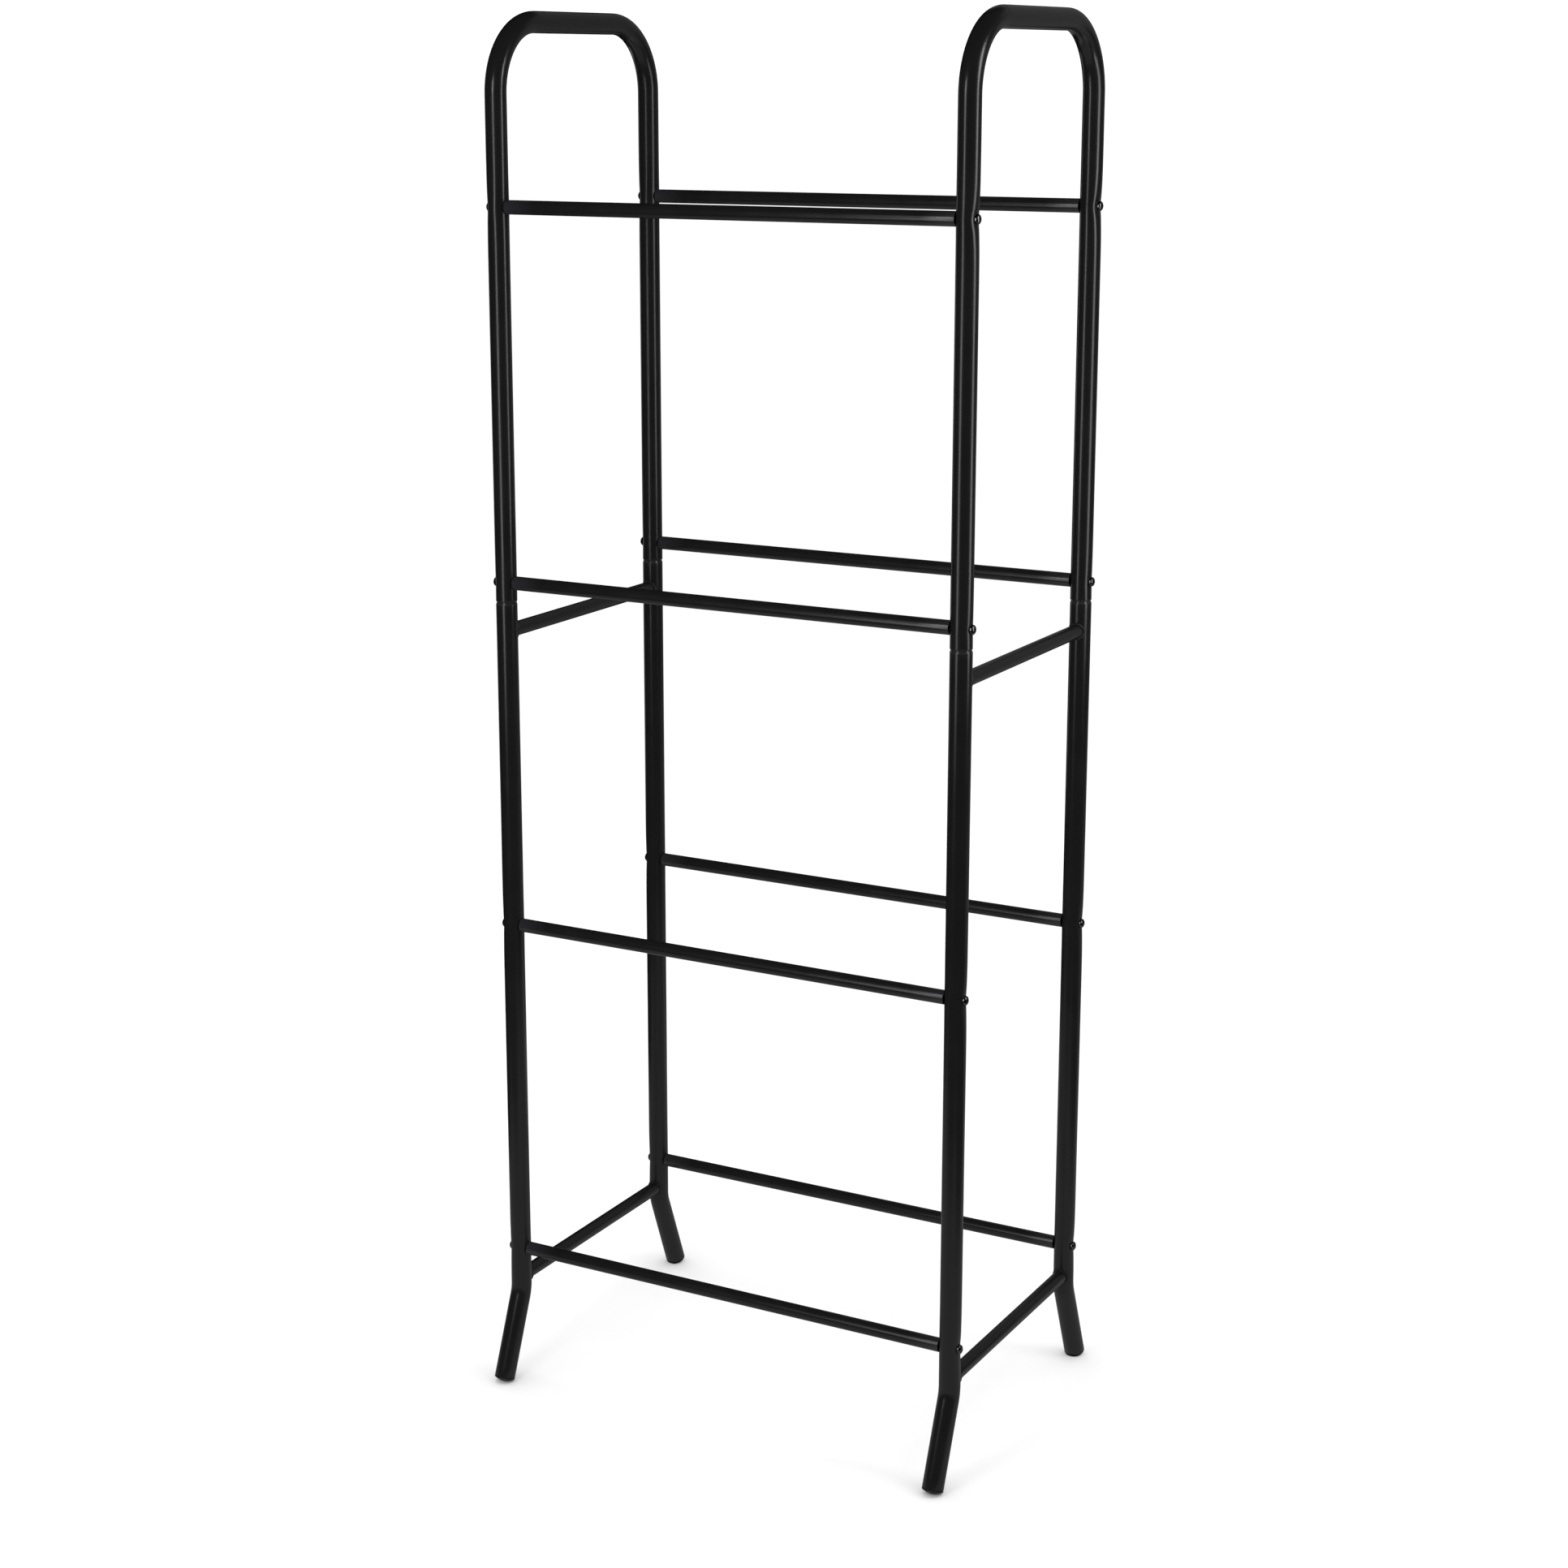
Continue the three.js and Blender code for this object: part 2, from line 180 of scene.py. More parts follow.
# How deep the head of each level's screws has sunk into the crushed wall of the post
head_seats = [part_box(f"right_front_screw_{level}")[1].x - screw_head_height for level in (1, 2, 3, 4)]
sinks = [post_x + post_radius + fit_gap - seat for seat in head_seats]


def turned(profile, sides, closed):
    """Turns (radius, height) points about Z; they close on themselves or start and end on the axis."""
    corners, faces, rings = [], [], []
    for radius, height in profile:
        around = 1 if radius < 1e-9 else sides
        rings.append([len(corners) + i for i in range(around)])
        for i in range(around):
            angle = 2 * math.pi * i / sides
            corners.append((radius * math.cos(angle), radius * math.sin(angle), height))
    pairs = list(zip(rings, rings[1:] + rings[:1]))
    for low, high in pairs if closed else pairs[:-1]:
        for i in range(sides):
            j = i + 1
            ring = [low[i % len(low)], low[j % len(low)], high[j % len(high)], high[i % len(high)]]
            faces.append(list(dict.fromkeys(ring)))
    mesh = bpy.data.meshes.new("turned")
    mesh.from_pydata(corners, [], faces)
    return mesh


def softened(corners, closed, steps=5):
    """Rounds the corners of a profile of (radius, height, rounding) points."""
    profile = []
    for i, (x, y, rounding) in enumerate(corners):
        here = Vector((x, y))
        if rounding == 0 or (not closed and i in (0, len(corners) - 1)):
            profile.append((x, y))
            continue
        before = Vector(corners[i - 1][:2]) - here
        after = Vector(corners[(i + 1) % len(corners)][:2]) - here
        half = before.angle(after) / 2
        reach = rounding / math.tan(half)
        inwards = (before.normalized() + after.normalized()).normalized()
        centre = here + inwards * (rounding / math.sin(half))
        start = here + before.normalized() * reach - centre
        end = here + after.normalized() * reach - centre
        for step in range(steps + 1):
            share = step / steps
            blend = start.slerp(end, share) if start.angle(end) > 1e-4 else start
            profile.append(tuple(centre + blend.normalized() * rounding))
    return profile


def ringed(profile, heights):
    """Adds points to the straight runs of a closed profile at the given heights."""
    fuller = []
    for (x0, y0), (x1, y1) in zip(profile, profile[1:] + profile[:1]):
        fuller.append((x0, y0))
        between = [h for h in heights if min(y0, y1) + 1e-6 < h < max(y0, y1) - 1e-6]
        for height in sorted(between, reverse=y1 < y0):
            fuller.append((x0 + (x1 - x0) * (height - y0) / (y1 - y0), height))
    return fuller


def ring_heights(length, spots=(), bends=(), step=14 * mm, fine=2 * mm, bend_rings=24):
    """Where a straight tube needs rings of points: all along, close together at spots and bends."""
    heights = list(np.arange(step, length, step))
    for spot in spots:
        heights += list(spot + np.arange(-40 * mm, 40.1 * mm, fine))
    for start, end in bends:
        heights += list(np.linspace(start, end, bend_rings + 1))
    heights = np.unique(np.round([h for h in heights if 0 < h < length], 5))
    keep = [heights[0]]
    for height in heights[1:]:
        if height - keep[-1] > 0.6 * mm:
            keep.append(height)
    return keep


# The crush fades out along the post in a wide dent with a narrow one inside it
wide_dent = 26 * mm
narrow_dent = 9 * mm
wide_share = 0.55
crush_spread = math.radians(50)  # round the post, to where the push has faded
crush_swell = 0.3  # how far the other sides move out, as a share of the push


def crushed(mesh, spots, outward):
    """Presses the outward side of a straight tube in where a screw pulls, and swells the others."""
    place = np.empty(len(mesh.vertices) * 3)
    mesh.vertices.foreach_get("co", place)
    place = place.reshape(-1, 3)
    angle = np.arctan2(place[:, 1], outward * place[:, 0])
    for height, depth in spots:
        far = place[:, 2] - height
        wide = wide_share * np.exp(-((far / wide_dent) ** 2))
        falloff = wide + (1 - wide_share) * np.exp(-((far / narrow_dent) ** 2))
        place[:, 0] -= outward * depth * falloff * np.exp(-((angle / crush_spread) ** 2))
        place[:, 1] *= 1 + crush_swell * depth / post_radius * falloff
    mesh.vertices.foreach_set("co", place.ravel())
    return mesh


def flattened(mesh, bends, share):
    """A bent tube goes slightly oval: it loses thickness in the plane of the bend."""
    for corner in mesh.vertices:
        for start, end in bends:
            inside = min(corner.co.z - start, end - corner.co.z) / (end - start)
            corner.co.y *= 1 - share * min(max(2 * inside + 0.2, 0), 1)
    return mesh


def with_wear_and_sheen(mesh, ends, reach=0.8 * mm):
    """Marks points near given heights for a paler coat: thin coat at rims, painted highlight on the
    shoulders.
    """
    mark = mesh.attributes.new("rim_wear_and_sheen", "FLOAT", "POINT")
    for i, corner in enumerate(mesh.vertices):
        gap = min(abs(corner.co.z - end) for end in ends)
        mark.data[i].value = max(0.0, 1 - gap / reach)
    return mesh


def new_tree(name, inputs):
    """A Geometry Nodes tree with named inputs; returns the tree and its input node."""
    tree = bpy.data.node_groups.new(name, "GeometryNodeTree")
    for label, kind in inputs.items():
        tree.interface.new_socket(label, in_out="INPUT", socket_type="NodeSocket" + kind)
    tree.interface.new_socket("Result", in_out="OUTPUT", socket_type="NodeSocketGeometry")
    return tree, tree.nodes.new("NodeGroupInput")


def close_tree(tree, geometry, given):
    """Ends a tree: smooth shading, real meshes instead of instances, and the material."""
    smooth = add(tree, "GeometryNodeSetShadeSmooth", {"Geometry": geometry})
    real = add(tree, "GeometryNodeRealizeInstances", {"Geometry": smooth.outputs[0]})
    coated = add(
        tree,
        "GeometryNodeSetMaterial",
        {"Geometry": real.outputs[0], "Material": given.outputs["Material"]},
    )
    add(tree, "NodeGroupOutput", {0: coated.outputs[0]})


def bench_work(name, mesh, *jobs):
    """Puts a mesh through Geometry Nodes trees, with their named inputs, and keeps a plain piece."""
    bench = put(name, mesh)
    for tree, values in jobs:
        modifier = bench.modifiers.new(tree.name, "NODES")
        modifier.node_group = tree
        for item in tree.interface.items_tree:
            if item.in_out == "INPUT" and item.name in values:
                modifier[item.identifier] = values[item.name]
    graph = bpy.context.evaluated_depsgraph_get()
    made = bpy.data.meshes.new_from_object(bench.evaluated_get(graph), depsgraph=graph)
    bpy.data.objects.remove(bench)
    made.name = name
    made.set_sharp_from_angle(angle=math.radians(32))
    return put(name, made)


def fitted(piece, material_slot, *nodes):
    """Stands a finished piece in its model nodes' place on the rack."""
    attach(piece, "root")
    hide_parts(*nodes)


guides = []  # lines and points that only the trees use, taken away at the end


def corner_line(name, corners):
    """A guide line through corners, for a tube to be laid along."""
    line = bpy.data.curves.new(name, "CURVE")
    line.dimensions = "3D"
    spline = line.splines.new("POLY")
    spline.points.add(len(corners) - 1)
    for point, corner in zip(spline.points, corners):
        point.co = (*corner, 1)
    guides.append(put(name, line))
    return guides[-1]


def point_set(name, places, facings=()):
    """Loose points, each with the direction that a piece put there faces."""
    mesh = bpy.data.meshes.new(name)
    mesh.from_pydata(places, [], [])
    if facings:
        mark = mesh.attributes.new("facing", "FLOAT_VECTOR", "POINT")
        mark.data.foreach_set("vector", [value for facing in facings for value in facing])
    guides.append(put(name, mesh))
    return guides[-1]


# The bender: lays a straight tube along corners rounded to the bend's radius, then drills it
# across for its screws.
bender, given = new_tree(
    "tube_bender",
    {
        "Tube": "Geometry",
        "Tube Length": "Float",
        "Corners": "Object",
        "Bend Radius": "Float",
        "Bend Steps": "Int",
        "Across": "Vector",
        "Screw Places": "Object",
        "Hole Radius": "Float",
        "Hole Length": "Float",
        "Material": "Material",
    },
)
corners = add(bender, "GeometryNodeObjectInfo", {"Object": given.outputs["Corners"]})
path = add(
    bender,
    "GeometryNodeFilletCurve",
    {
        "Curve": corners.outputs["Geometry"],
        "Radius": given.outputs["Bend Radius"],
        "Count": given.outputs["Bend Steps"],
    },
    mode="POLY",
)
straight = add(bender, "ShaderNodeSeparateXYZ", {0: add(bender, "GeometryNodeInputPosition").outputs[0]})
share = add(
    bender,
    "ShaderNodeMath",
    {0: straight.outputs["Z"], 1: given.outputs["Tube Length"]},
    operation="DIVIDE",
)
spot = add(
    bender,
    "GeometryNodeSampleCurve",
    {"Curves": path.outputs[0], "Factor": share.outputs[0]},
    mode="FACTOR",
)
across = given.outputs["Across"]
vector_math = "ShaderNodeVectorMath"
aside = add(bender, vector_math, {0: spot.outputs["Tangent"], 1: across}, operation="CROSS_PRODUCT")
by_x = add(bender, vector_math, {0: across, "Scale": straight.outputs["X"]}, operation="SCALE")
by_y = add(bender, vector_math, {0: aside.outputs[0], "Scale": straight.outputs["Y"]}, operation="SCALE")
off_axis = add(bender, vector_math, {0: by_x.outputs[0], 1: by_y.outputs[0]}, operation="ADD")
laid_at = add(bender, vector_math, {0: spot.outputs["Position"], 1: off_axis.outputs[0]}, operation="ADD")
laid = add(
    bender, "GeometryNodeSetPosition", {"Geometry": given.outputs["Tube"], "Position": laid_at.outputs[0]}
)
drill = add(
    bender,
    "GeometryNodeMeshCylinder",
    {"Vertices": 40, "Radius": given.outputs["Hole Radius"], "Depth": given.outputs["Hole Length"]},
)
turned_drill = add(
    bender, "GeometryNodeTransform", {"Geometry": drill.outputs["Mesh"], "Rotation": (0, math.pi / 2, 0)}
)
screw_places = add(bender, "GeometryNodeObjectInfo", {"Object": given.outputs["Screw Places"]})
drills = add(
    bender,
    "GeometryNodeInstanceOnPoints",
    {"Points": screw_places.outputs["Geometry"], "Instance": turned_drill.outputs[0]},
)
real_drills = add(bender, "GeometryNodeRealizeInstances", {"Geometry": drills.outputs[0]})
drilled = add(
    bender,
    "GeometryNodeMeshBoolean",
    {"Mesh 1": laid.outputs[0], "Mesh 2": real_drills.outputs[0]},
    operation="DIFFERENCE",
    solver="MANIFOLD",
)
close_tree(bender, drilled.outputs["Mesh"], given)


powder_coat = bpy.data.materials.new("black_powder_coat")
powder_coat.use_nodes = True
tree = powder_coat.node_tree
coat = tree.nodes["Principled BSDF"]
place = add(tree, "ShaderNodeTexCoord").outputs["Object"]
# Orange peel of 2.5 mm, and the grain of the baked powder, which is 0.1 mm and is drawn at 0.6 mm
peel = add(tree, "ShaderNodeTexNoise", {"Vector": place, "Scale": 1 / (2.5 * mm), "Detail": 1.0})
grain = add(tree, "ShaderNodeTexNoise", {"Vector": place, "Scale": 1 / (0.6 * mm), "Detail": 2.0})
peel_bump = add(tree, "ShaderNodeBump", {"Height": peel.outputs["Fac"], "Distance": 0.022 * mm})
grain_bump = add(
    tree,
    "ShaderNodeBump",
    {"Height": grain.outputs["Fac"], "Distance": 0.004 * mm, "Normal": peel_bump.outputs[0]},
)
# Specks of dust and stray powder baked into the coat, 1.5 mm across, a few to each metre of tube
nib_places = add(tree, "ShaderNodeTexVoronoi", {"Vector": place, "Scale": 1 / (36 * mm)})
nibs = add(
    tree,
    "ShaderNodeMapRange",
    {
        "Value": nib_places.outputs["Distance"],
        "From Min": 0.0,
        "From Max": 0.022,
        "To Min": 1.0,
        "To Max": 0.0,
    },
    interpolation_type="SMOOTHSTEP",
)
nib_bump = add(
    tree,
    "ShaderNodeBump",
    {"Height": nibs.outputs[0], "Distance": 0.25 * mm, "Normal": grain_bump.outputs[0]},
)
tree.links.new(nib_bump.outputs[0], coat.inputs["Normal"])
# Handling and wiping leave patches of a few centimetres that are slightly duller
handled = add(tree, "ShaderNodeTexNoise", {"Vector": place, "Scale": 1 / (45 * mm), "Detail": 3.0})
gloss = add(
    tree,
    "ShaderNodeMapRange",
    {"Value": handled.outputs["Fac"], "From Min": 0.3, "From Max": 0.7, "To Min": 0.2, "To Max": 0.26},
)
tree.links.new(gloss.outputs[0], coat.inputs["Roughness"])
shade = add(
    tree,
    "ShaderNodeMix",
    {"Factor": handled.outputs["Fac"], "A": linear("#111112"), "B": linear("#161617")},
    data_type="RGBA",
)
# Paler coat where the tube is marked: real thin coat along cut rims, and a painted highlight on the legs'
# shoulders
rim_wear_and_sheen = add(tree, "ShaderNodeAttribute", attribute_name="rim_wear_and_sheen")
wear_and_sheen_share = add(
    tree, "ShaderNodeMath", {0: rim_wear_and_sheen.outputs["Fac"], 1: grain.outputs["Fac"]}, operation="MULTIPLY"
)
coat_with_wear_and_sheen = add(
    tree,
    "ShaderNodeMix",
    {"Factor": wear_and_sheen_share.outputs[0], "A": shade.outputs["Result"], "B": linear("#3a3a3d")},
    data_type="RGBA",
)
tree.links.new(coat_with_wear_and_sheen.outputs["Result"], coat.inputs["Base Color"])


def tube_piece(name, blank, length, corners, across, holes=(), bend=(0.0, 1), jobs=()):
    """Lays a straight blank along corners, drills it at its screws' holes and stands it in place.

    Bend is the radius and the number of steps of each bend; jobs are done before the bending.
    """
    guide = corner_line(name + "_line", corners)
    screws = point_set(name + "_screws", list(holes))
    bending = {
        "Tube Length": length,
        "Corners": guide,
        "Bend Radius": bend[0],
        "Bend Steps": bend[1],
        "Across": across,
        "Screw Places": screws,
        "Hole Radius": screw_hole_radius,
        "Hole Length": 4 * post_radius,
        "Material": powder_coat,
    }
    fitted(bench_work(name + "_tube", blank, *jobs, (bender, bending)), "tube_steel", name)


# The foot's end: its plug's dome is a ball that rests on the floor, less a flat on the sole
dome_height = 4 * mm
dome_radius = (post_radius**2 + dome_height**2) / (2 * dome_height)
sole_flat = 0.8 * mm
plug_rim = 1.2 * mm
ball_height = dome_radius - sole_flat
ball_out = (foot_bend_height - ball_height) * math.tan(foot_angle)
ball_to_tube = dome_radius - dome_height - plug_rim - fit_gap
tube_end_out = ball_out + ball_to_tube * math.sin(foot_angle)
tube_end_height = ball_height - ball_to_tube * math.cos(foot_angle)

leg_top = joint_height + spigot_length
foot_run = math.hypot(tube_end_out, foot_bend_height - tube_end_height)
tangent = foot_bend_radius * math.tan(foot_angle / 2)
bend_start = leg_top - foot_bend_height - tangent
foot_bend = (bend_start, bend_start + foot_bend_radius * foot_angle)
leg_length = foot_bend[1] + foot_run - tangent
spigot_radius = post_radius - post_wall - fit_gap
shoulder_top = leg_top - joint_height + fit_gap
leg_corners = [
    (spigot_radius, 0, rim_round),
    (spigot_radius, shoulder_top, 0),
    (post_radius - shoulder_drop, shoulder_top, 0.1 * mm),
    (post_radius, shoulder_top + shoulder_height, 2 * mm),
    (post_radius, leg_length, rim_round),
    (post_radius - post_wall, leg_length, rim_round),
    (post_radius - post_wall, shoulder_top + shoulder_height, 0),
    (spigot_radius - post_wall, shoulder_top, 0),
    (spigot_radius - post_wall, 0, rim_round),
]
leg_crush = [(leg_top - levels[0], sinks[0]), (leg_top - levels[1], sinks[1])]
leg_rings = ring_heights(leg_length, [height for height, _ in leg_crush], [foot_bend])
# Two rings near the shoulder's ends keep the slope between them flat
leg_rings += [shoulder_top + 0.2 * mm, shoulder_top + shoulder_height - 0.6 * mm]
bend_steps = 24
foot_flattening = 0.02
along_x = (1.0, 0.0, 0.0)

for side, outward in (("left", -1), ("right", 1)):
    for face, rear in (("front", -1), ("rear", 1)):
        name = f"{side}_{face}_leg"
        blank = turned(ringed(softened(leg_corners, True), leg_rings), post_sides, True)
        blank = flattened(crushed(blank, leg_crush, outward), [foot_bend], foot_flattening)
        # Painted highlight: the shoulder's coat is painted paler, so the joint line shows bright as if lit
        blank = with_wear_and_sheen(blank, [shoulder_top + shoulder_height / 2], reach=2.2 * mm)
        x, y = outward * post_x, rear * post_y
        corners = [(x, y, leg_top), (x, y, foot_bend_height), (x, y + rear * tube_end_out, tube_end_height)]
        holes = [(x, y, level) for level in levels[:3]]
        tube_piece(name, blank, leg_length, corners, along_x, holes, (foot_bend_radius, bend_steps))

# ---------------------------------------------------------------------------------------------
# Upper hoops: one length of the same tube each, with two quarter bends, pushed over the legs'
# spigots. The tube goes slightly flat through the bends.
hoop_bend_radius = 80 * mm
hoop_top = hoop_high.z - post_radius
hoop_rise = hoop_top - hoop_bend_radius - joint_height
hoop_arc = hoop_bend_radius * math.pi / 2
hoop_flat = 2 * post_y - 2 * hoop_bend_radius
hoop_length = 2 * hoop_rise + 2 * hoop_arc + hoop_flat
second_bend = hoop_rise + hoop_arc + hoop_flat
hoop_bends = [(hoop_rise, hoop_rise + hoop_arc), (second_bend, second_bend + hoop_arc)]
hoop_flattening = 0.03
lip_round = 0.45 * mm
hoop_corners = [
    (post_radius, 0, lip_round),
    (post_radius, hoop_length, lip_round),
    (post_radius - post_wall, hoop_length, 0.05 * mm),
    (post_radius - post_wall, 0, 0.05 * mm),
]
hoop_crush = []
for level, sink in ((levels[2], sinks[2]), (levels[3], sinks[3])):
    hoop_crush += [(level - joint_height, sink), (hoop_length - level + joint_height, sink)]
hoop_rings = ring_heights(hoop_length, [height for height, _ in hoop_crush], hoop_bends)

for side, outward in (("left", -1), ("right", 1)):
    name = f"{side}_upper_hoop"
    x = outward * post_x
    blank = turned(ringed(softened(hoop_corners, True), hoop_rings), post_sides, True)
    blank = flattened(crushed(blank, hoop_crush, outward), hoop_bends, hoop_flattening)
    blank = with_wear_and_sheen(blank, [0, hoop_length])
    feet = [(x, -post_y, joint_height), (x, post_y, joint_height)]
    corners = [feet[0], (x, -post_y, hoop_top), (x, post_y, hoop_top), feet[1]]
    holes = [(x, y, level) for y in (-post_y, post_y) for level in levels[2:]]
    tube_piece(name, blank, hoop_length, corners, along_x, holes, (hoop_bend_radius, bend_steps))

# ---------------------------------------------------------------------------------------------
# Struts: 17 mm tube across each side frame, its ends cut to the posts and MIG welded all round
# before coating, so the rippled, uneven beads carry the same black skin.
strut_radius = 8.5 * mm
strut_wall = 1 * mm
strut_length = 2 * post_y
strut_sides = 56
bead_radius = 1.8 * mm
bead_off_post = 0.4 * mm  # its middle, from the post's surface
bead_off_strut = 0.3 * mm
bead_ripples = 24  # round each bead
saddle_fade = 30 * mm  # how far along the strut its mesh follows the cut end's shape

# The welder: lays a rippled bead round one end of a strut that stands on z = 0, against a post
# whose axis lies along Y at the post height. Towards is 1 where the strut leaves the post upwards.
welder, given = new_tree(
    "weld_bead",
    {
        "Strut": "Geometry",
        "Post Height": "Float",
        "Towards": "Float",
        "Post Radius": "Float",
        "Ring Radius": "Float",
        "Bead Radius": "Float",
        "Ripples": "Float",
        "Seed": "Float",
        "Material": "Material",
    },
)
ring = add(
    welder,
    "GeometryNodeCurvePrimitiveCircle",
    {"Resolution": 144, "Radius": given.outputs["Ring Radius"]},
)
ring_spot = add(welder, "ShaderNodeSeparateXYZ", {0: add(welder, "GeometryNodeInputPosition").outputs[0]})
square = add(welder, "ShaderNodeMath", {0: ring_spot.outputs["X"], 1: 2.0}, operation="POWER")
post_square = add(welder, "ShaderNodeMath", {0: given.outputs["Post Radius"], 1: 2.0}, operation="POWER")
rest = add(
    welder, "ShaderNodeMath", {0: post_square.outputs[0], 1: square.outputs[0]}, operation="SUBTRACT"
)
reach = add(welder, "ShaderNodeMath", {0: rest.outputs[0], 1: 0.5}, operation="POWER")
ring_height = add(
    welder,
    "ShaderNodeMath",
    {0: reach.outputs[0], 1: given.outputs["Towards"], 2: given.outputs["Post Height"]},
    operation="MULTIPLY_ADD",
)
ring_at = add(
    welder,
    "ShaderNodeCombineXYZ",
    {"X": ring_spot.outputs["X"], "Y": ring_spot.outputs["Y"], "Z": ring_height.outputs[0]},
)
saddle = add(
    welder,
    "GeometryNodeSetPosition",
    {"Geometry": ring.outputs["Curve"], "Position": ring_at.outputs[0]},
)
along = add(welder, "GeometryNodeSplineParameter").outputs["Factor"]
ripple_turn = add(
    welder, "ShaderNodeMath", {0: given.outputs["Ripples"], 1: 2 * math.pi}, operation="MULTIPLY"
)
ripple_angle = add(welder, "ShaderNodeMath", {0: along, 1: ripple_turn.outputs[0]}, operation="MULTIPLY")
ripple = add(welder, "ShaderNodeMath", {0: ripple_angle.outputs[0]}, operation="SINE")
# The bead's thickness wanders over about 7 mm, and swells at each ripple
lumps = add(
    welder,
    "ShaderNodeTexNoise",
    {"W": given.outputs["Seed"], "Scale": 1 / (7 * mm), "Detail": 1.0},
    noise_dimensions="4D",
)
uneven = add(welder, "ShaderNodeMath", {0: lumps.outputs["Fac"], 1: 0.9, 2: 0.55}, operation="MULTIPLY_ADD")
bead_scale = add(
    welder,
    "ShaderNodeMath",
    {0: ripple.outputs[0], 1: 0.14, 2: uneven.outputs[0]},
    operation="MULTIPLY_ADD",
)
bead_section = add(
    welder,
    "GeometryNodeCurvePrimitiveCircle",
    {"Resolution": 12, "Radius": given.outputs["Bead Radius"]},
)
bead = add(
    welder,
    "GeometryNodeCurveToMesh",
    {
        "Curve": saddle.outputs[0],
        "Profile Curve": bead_section.outputs["Curve"],
        "Scale": bead_scale.outputs[0],
    },
)
welded = add(
    welder,
    "GeometryNodeMeshBoolean",
    {"Mesh 2": given.outputs["Strut"]},
    operation="UNION",
    solver="MANIFOLD",
)
welder.links.new(bead.outputs[0], welded.inputs["Mesh 2"])
close_tree(welder, welded.outputs["Mesh"], given)

for side, outward in (("left", -1), ("right", 1)):
    for place in ("upper", "lower"):
        name = f"{side}_{place}_strut"
        low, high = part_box(name)
        axis_height = (low.z + high.z) / 2
        section = [
            (strut_radius, post_radius, 0),
            (strut_radius, strut_length - post_radius, 0),
            (strut_radius - strut_wall, strut_length - post_radius, 0),
            (strut_radius - strut_wall, post_radius, 0),
        ]
        # Rings come closer together towards the cut ends, where the mesh follows the saddle
        rings = [post_radius + step * mm for step in (1, 2, 3, 4, 6, 9, 14, 20, 28)]
        rings += [strut_length - height for height in rings]
        blank = turned(ringed(softened(section, True), rings), strut_sides, True)
        for corner in blank.vertices:
            short = post_radius - math.sqrt(post_radius**2 - corner.co.x**2)
            below = corner.co.z - post_radius
            above = strut_length - post_radius - corner.co.z
            corner.co.z -= short * max(0, 1 - below / saddle_fade)
            corner.co.z += short * max(0, 1 - above / saddle_fade)
        x = outward * post_x
        bead_sizes = {
            "Post Radius": post_radius + bead_off_post,
            "Ring Radius": strut_radius + bead_off_strut,
            "Bead Radius": bead_radius,
            "Ripples": float(bead_ripples),
            "Material": powder_coat,
        }
        seed = 3.0 * outward + (1.0 if place == "upper" else 0.0)
        welds = (
            (welder, {**bead_sizes, "Post Height": 0.0, "Towards": 1.0, "Seed": seed}),
            (welder, {**bead_sizes, "Post Height": strut_length, "Towards": -1.0, "Seed": seed + 10}),
        )
        corners = [(x, -post_y, axis_height), (x, post_y, axis_height)]
        tube_piece(name, blank, strut_length, corners, along_x, jobs=welds)

# ---------------------------------------------------------------------------------------------
# Rails: 16.2 mm tube, sawn square, deburred and coated, drawn up tight against the posts.
rail_radius = 8.1 * mm
rail_wall = 1 * mm
rail_round = 0.35 * mm
rail_sides = 56
drawn_tight = 0.5 * mm  # how much of the model's clearance the two ends take up
for face in ("front", "rear"):
    for level in (1, 2, 3, 4):
        name = f"{face}_rail_{level}"
        low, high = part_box(name)
        rail_length = high.x - low.x + drawn_tight
        section = [
            (rail_radius, 0, rail_round),
            (rail_radius, rail_length, rail_round),
            (rail_radius - rail_wall, rail_length, 0.2 * mm),
            (rail_radius - rail_wall, 0, 0.2 * mm),
        ]
        rings = ring_heights(rail_length, step=40 * mm)
        blank = turned(ringed(softened(section, True), rings), rail_sides, True)
        blank = with_wear_and_sheen(blank, [0, rail_length])
        y = (low.y + high.y) / 2
        z = (low.z + high.z) / 2
        corners = [(-rail_length / 2, y, z), (rail_length / 2, y, z)]
        tube_piece(name, blank, rail_length, corners, (0.0, 0.0, 1.0))

# ---------------------------------------------------------------------------------------------
# Foot plugs: black polyethylene, injection moulded, pressed into each foot's end. A ribbed stub
# holds in the tube, a domed sole carries the load. The tool's fine spark texture keeps it dull.
plug_stub = 14 * mm
plug_floor = 1 * mm  # of the stub's hollow, over the rim
dome_steps = 16
rib_height = 0.25 * mm
rib_pitch = 2.8 * mm
first_rib = 1.5 * mm  # above the rim
stub_radius = post_radius - post_wall - rib_height - 0.1 * mm

moulded = bpy.data.materials.new("moulded_polyethylene")
moulded.use_nodes = True
tree = moulded.node_tree
plastic = tree.nodes["Principled BSDF"]
place = add(tree, "ShaderNodeTexCoord").outputs["Object"]
spark = add(tree, "ShaderNodeTexNoise", {"Vector": place, "Scale": 1 / (0.6 * mm), "Detail": 2.0})
spark_bump = add(tree, "ShaderNodeBump", {"Height": spark.outputs["Fac"], "Distance": 0.05 * mm})
tree.links.new(spark_bump.outputs[0], plastic.inputs["Normal"])
